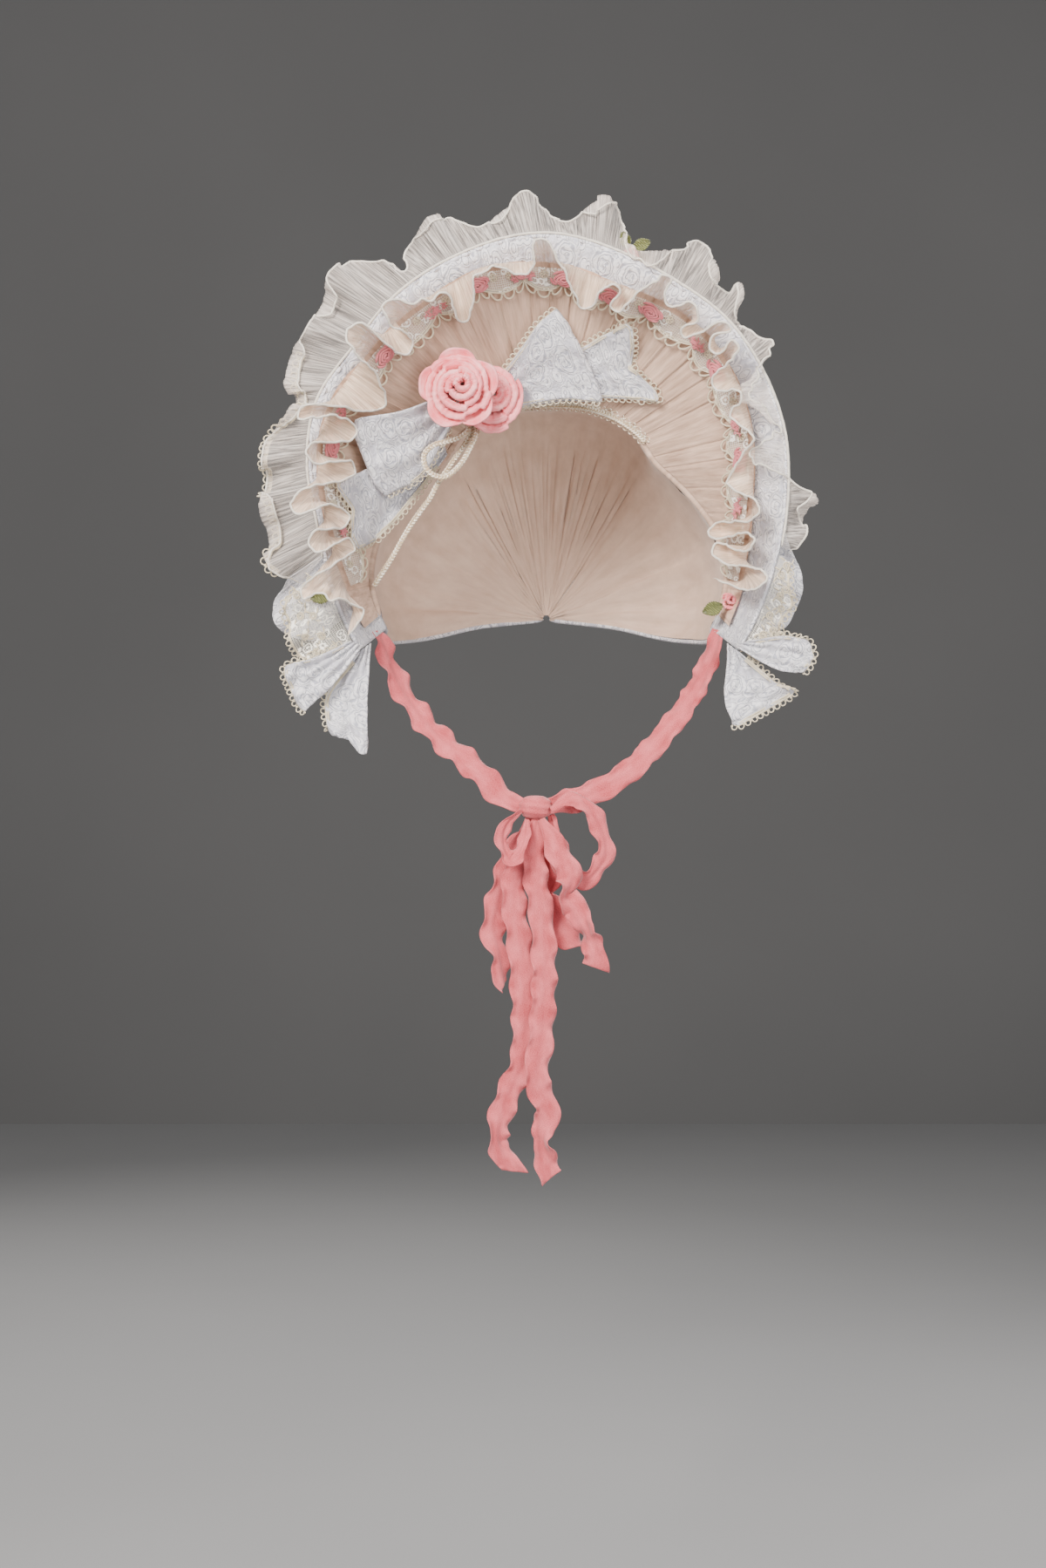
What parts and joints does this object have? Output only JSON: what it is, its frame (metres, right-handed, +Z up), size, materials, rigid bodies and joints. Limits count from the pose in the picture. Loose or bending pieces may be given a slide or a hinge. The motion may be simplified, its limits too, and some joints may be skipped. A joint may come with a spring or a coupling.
{
  "type": "ruffled bonnet",
  "caption": "Brim bonnet with a flaring ruffled brim, rose lace, a bow with fabric roses, a gathered crown and pink ribbon ties bowed under the chin.",
  "frame": {"origin": "inside the top of the crown, where the head's highest point touches", "axes": "+Z up, the front of the bonnet looks along -Y, +X is the viewer's right"},
  "size_m": [0.3303, 0.2378, 0.5852],
  "materials": {
    "blue_jacquard": "woven tone-on-tone scrolls with a silvery sheen",
    "ivory_chiffon": "crinkled sheer chiffon with a rolled hem",
    "lining_chiffon": "pleated champagne chiffon",
    "ivory_lace": "embroidered lace and gimp braid",
    "rose_pink": "coral pink cloth with a fine glitter",
    "tie_pink": "pink georgette with stretched edges",
    "leaf_green": "olive cloth"
  },
  "bodies": {
    "root": {"brim": "blue_jacquard", "brim_lining": "lining_chiffon", "crown": "blue_jacquard", "rim_ruffle": "ivory_chiffon", "inner_ruffle": "ivory_chiffon", "lace_band": "ivory_lace", "lace_rose_01": "rose_pink", "lace_rose_02": "rose_pink", "lace_rose_03": "rose_pink", "lace_rose_04": "rose_pink", "lace_rose_05": "rose_pink", "lace_rose_06": "rose_pink", "lace_rose_07": "rose_pink", "lace_rose_08": "rose_pink", "lace_rose_09": "rose_pink", "lace_rose_10": "rose_pink", "lace_rose_11": "rose_pink", "lace_rose_12": "rose_pink", "lace_rose_13": "rose_pink", "lace_rose_14": "rose_pink", "lace_rose_15": "rose_pink", "bow_knot": "blue_jacquard", "bow_loop_left": "blue_jacquard", "bow_loop_right": "blue_jacquard", "bow_tail_left": "blue_jacquard", "bow_tail_right": "blue_jacquard", "rose_large": "rose_pink", "rose_small": "rose_pink", "gimp_lower": "ivory_lace", "gimp_upper": "ivory_lace", "gimp_loop": "ivory_lace", "gimp_tail": "ivory_lace", "corner_loop_left": "blue_jacquard", "corner_loop_right": "blue_jacquard", "corner_tail_left": "blue_jacquard", "corner_tail_right": "blue_jacquard", "corner_lace_left": "ivory_lace", "corner_lace_right": "ivory_lace", "side_flounce_left": "blue_jacquard", "side_flounce_right": "blue_jacquard", "rosebud_right": "rose_pink", "rosebud_top": "rose_pink", "leaf_right": "leaf_green", "leaf_left": "leaf_green", "leaf_top_left": "leaf_green", "leaf_top_right": "leaf_green", "tie_strap_left": "tie_pink", "tie_strap_right": "tie_pink", "tie_knot": "tie_pink", "tie_loop_left": "tie_pink", "tie_loop_right": "tie_pink", "tie_tail_1": "tie_pink", "tie_tail_2": "tie_pink", "tie_tail_3": "tie_pink", "tie_tail_4": "tie_pink", "tie_tail_5": "tie_pink"}
  },
  "joints": []
}
